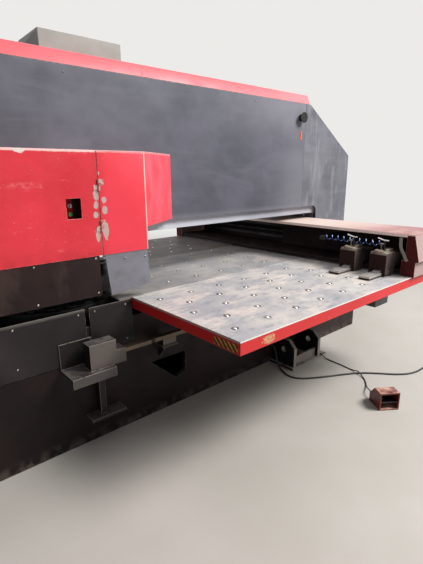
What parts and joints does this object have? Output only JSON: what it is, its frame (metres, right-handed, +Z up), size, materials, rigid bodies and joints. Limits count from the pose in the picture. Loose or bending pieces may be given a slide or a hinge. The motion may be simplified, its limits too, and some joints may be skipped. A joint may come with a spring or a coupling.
{
  "type": "cnc turret punch press",
  "caption": "Turret punch press with a closed frame, rotating tool turrets, a striking ram and a two-axis sheet carriage with ball tables, clamps and a foot switch.",
  "frame": {"origin": "centre of the bed's bottom face, on the floor", "axes": "+X along the frame towards the carriage's home end, +Y across to the rear side, +Z up"},
  "size_m": [4.6, 3, 2.36],
  "materials": {
    "bed_black": "oily dark paint",
    "frame_grey": "matt paint",
    "beam_grey": "pale matt paint",
    "cover_grey": "satin paint with wipe marks",
    "cover_grey_light": "satin paint",
    "cover_dark": "satin paint",
    "hood_grey": "satin paint",
    "guard_red": "satin paint, worn edges",
    "skirt_brown": "greasy paint",
    "lower_grey": "matt paint",
    "recess_black": "matt",
    "button_green": "gloss",
    "knob_grey": "satin",
    "bare_sheet": "dull",
    "hinge_worn": "worn to bare metal",
    "table_steel": "dusty, mottled",
    "ball_chrome": "polished",
    "rail_steel": "ground",
    "bracket_black": "oily",
    "lug_black": "satin",
    "tool_steel": "oiled",
    "ram_chrome": "ground and chromed",
    "cylinder_grey": "satin",
    "tank_green": "satin",
    "beam_dark": "shadowed matt paint",
    "faded_pink": "faded and dusty",
    "cap_red": "satin",
    "apron_red": "satin, chipped edges",
    "motor_black": "satin",
    "clamp_brown": "browned",
    "jaw_steel": "ground",
    "fitting_bright": "bright",
    "hose_blue": "translucent gloss",
    "cast_redbrown": "red-brown enamel",
    "cable_black": "matt",
    "plug_black": "satin"
  },
  "bodies": {
    "machine": {"bed": "bed_black", "columns": "frame_grey", "upper_beam": "beam_grey", "cover_battens": "frame_grey", "upper_covers": "cover_grey", "right_covers": "cover_grey_light", "column_covers": "cover_grey", "roof_panels": "guard_red", "end_covers": "cover_dark", "roof_hood": "hood_grey", "guard_front": "guard_red", "guard_rear": "guard_red", "skirts": "skirt_brown", "lower_covers": "lower_grey", "control_recess": "recess_black", "hinge_leaves": "hinge_worn", "centre_table": "table_steel", "centre_balls": "ball_chrome", "side_rails": "rail_steel", "rail_brackets": "bracket_black", "transport_lugs": "lug_black", "lifting_stubs": "lug_black", "turret_bearings": "rail_steel", "striker_cylinder": "cylinder_grey", "hydraulic_tank": "tank_green", "x_drive": "motor_black", "foot_switch": "cast_redbrown", "cable_glands": "cable_black", "console_cable": "cable_black", "console_coil": "cable_black", "console_plug": "plug_black", "switch_cable": "cable_black"},
    "carriage": {"carriage_beam": "beam_dark", "beam_top_cover": "faded_pink", "end_caps": "cap_red", "cross_rails": "rail_steel", "wing_tables": "table_steel", "wing_aprons": "apron_red", "wing_frames": "frame_grey", "wing_balls": "ball_chrome", "y_drive": "motor_black"},
    "cross_slide": {"clamp_bar": "beam_dark", "clamp_bodies": "clamp_brown", "air_fittings": "fitting_bright", "air_hoses": "hose_blue"},
    "jaw_1": {"clamp_1_jaw": "jaw_steel"},
    "jaw_2": {"clamp_2_jaw": "jaw_steel"},
    "upper_turret_body": {"upper_turret": "tool_steel", "upper_punches": "tool_steel"},
    "lower_turret_body": {"lower_turret": "tool_steel"},
    "punch_body": {"striking_punch": "tool_steel"},
    "striker_body": {"striker": "ram_chrome"},
    "door": {"turret_door": "guard_red", "door_flap": "bare_sheet", "door_leaves": "hinge_worn"},
    "button": {"start_button": "button_green"},
    "selector": {"selector_knob": "knob_grey"},
    "pedal": {"foot_pedal": "lug_black"},
    "x_screw_body": {"x_screw": "ram_chrome"},
    "y_screw_body": {"y_screw": "ram_chrome"}
  },
  "joints": [
    {"name": "carriage_slide", "type": "slide", "parent": "machine", "child": "carriage", "axis": [1, 0, 0], "range_m": [-1.27, 0]},
    {"name": "cross_slide_y", "type": "slide", "parent": "carriage", "child": "cross_slide", "axis": [0, 1, 0], "range_m": [0, 1.27]},
    {"name": "jaw_1_hinge", "type": "hinge", "parent": "cross_slide", "child": "jaw_1", "pos_m": [1.25, -0.95, 0.912], "axis": [0, 1, 0], "range_deg": [0, 6]},
    {"name": "jaw_2_hinge", "type": "hinge", "parent": "cross_slide", "child": "jaw_2", "pos_m": [1.25, -1.193, 0.912], "axis": [0, 1, 0], "range_deg": [0, 6]},
    {"name": "upper_turret_turn", "type": "hinge", "parent": "machine", "child": "upper_turret_body", "pos_m": [-0.73, 0, 0.95], "axis": [0, 0, 1], "continuous": true},
    {"name": "lower_turret_turn", "type": "hinge", "parent": "machine", "child": "lower_turret_body", "pos_m": [-0.73, 0, 0.8], "axis": [0, 0, 1], "continuous": true},
    {"name": "striker_slide", "type": "slide", "parent": "machine", "child": "striker_body", "axis": [0, 0, 1], "range_m": [-0.03, 0]},
    {"name": "punch_slide", "type": "slide", "parent": "upper_turret_body", "child": "punch_body", "axis": [0, 0, 1], "range_m": [-0.03, 0]},
    {"name": "door_hinge", "type": "hinge", "parent": "machine", "child": "door", "pos_m": [-0.566, -0.483, 1.4], "axis": [0, 0, 1], "range_deg": [-110, 0]},
    {"name": "button_press", "type": "slide", "parent": "machine", "child": "button", "axis": [0, 1, 0], "range_m": [0, 0.004], "stiffness_N_per_m": 600, "springref_m": -0.002},
    {"name": "selector_turn", "type": "hinge", "parent": "machine", "child": "selector", "pos_m": [-0.71, -0.42, 1.434], "axis": [0, 1, 0], "range_deg": [0, 60]},
    {"name": "pedal_press", "type": "hinge", "parent": "machine", "child": "pedal", "pos_m": [1.02549, -1.41318, 0.034], "axis": [0.8192, -0.5736, 0], "range_deg": [0, 11], "stiffness_Nm_per_rad": 30, "springref_deg": -8.59},
    {"name": "x_screw_turn", "type": "hinge", "parent": "machine", "child": "x_screw_body", "pos_m": [0, 0.464, 0.62], "axis": [1, 0, 0], "range_deg": [-9150, 0]},
    {"name": "y_screw_turn", "type": "hinge", "parent": "carriage", "child": "y_screw_body", "pos_m": [1.7, 0, 1.015], "axis": [0, 1, 0], "range_deg": [0, 9150]}
  ],
  "couplings": [
    {"joint": "lower_turret_turn", "follows": "upper_turret_turn", "ratio": 1},
    {"joint": "punch_slide", "follows": "striker_slide", "ratio": 1},
    {"joint": "x_screw_turn", "follows": "carriage_slide", "rad_per_m": 125.66},
    {"joint": "y_screw_turn", "follows": "cross_slide_y", "rad_per_m": 125.66}
  ]
}
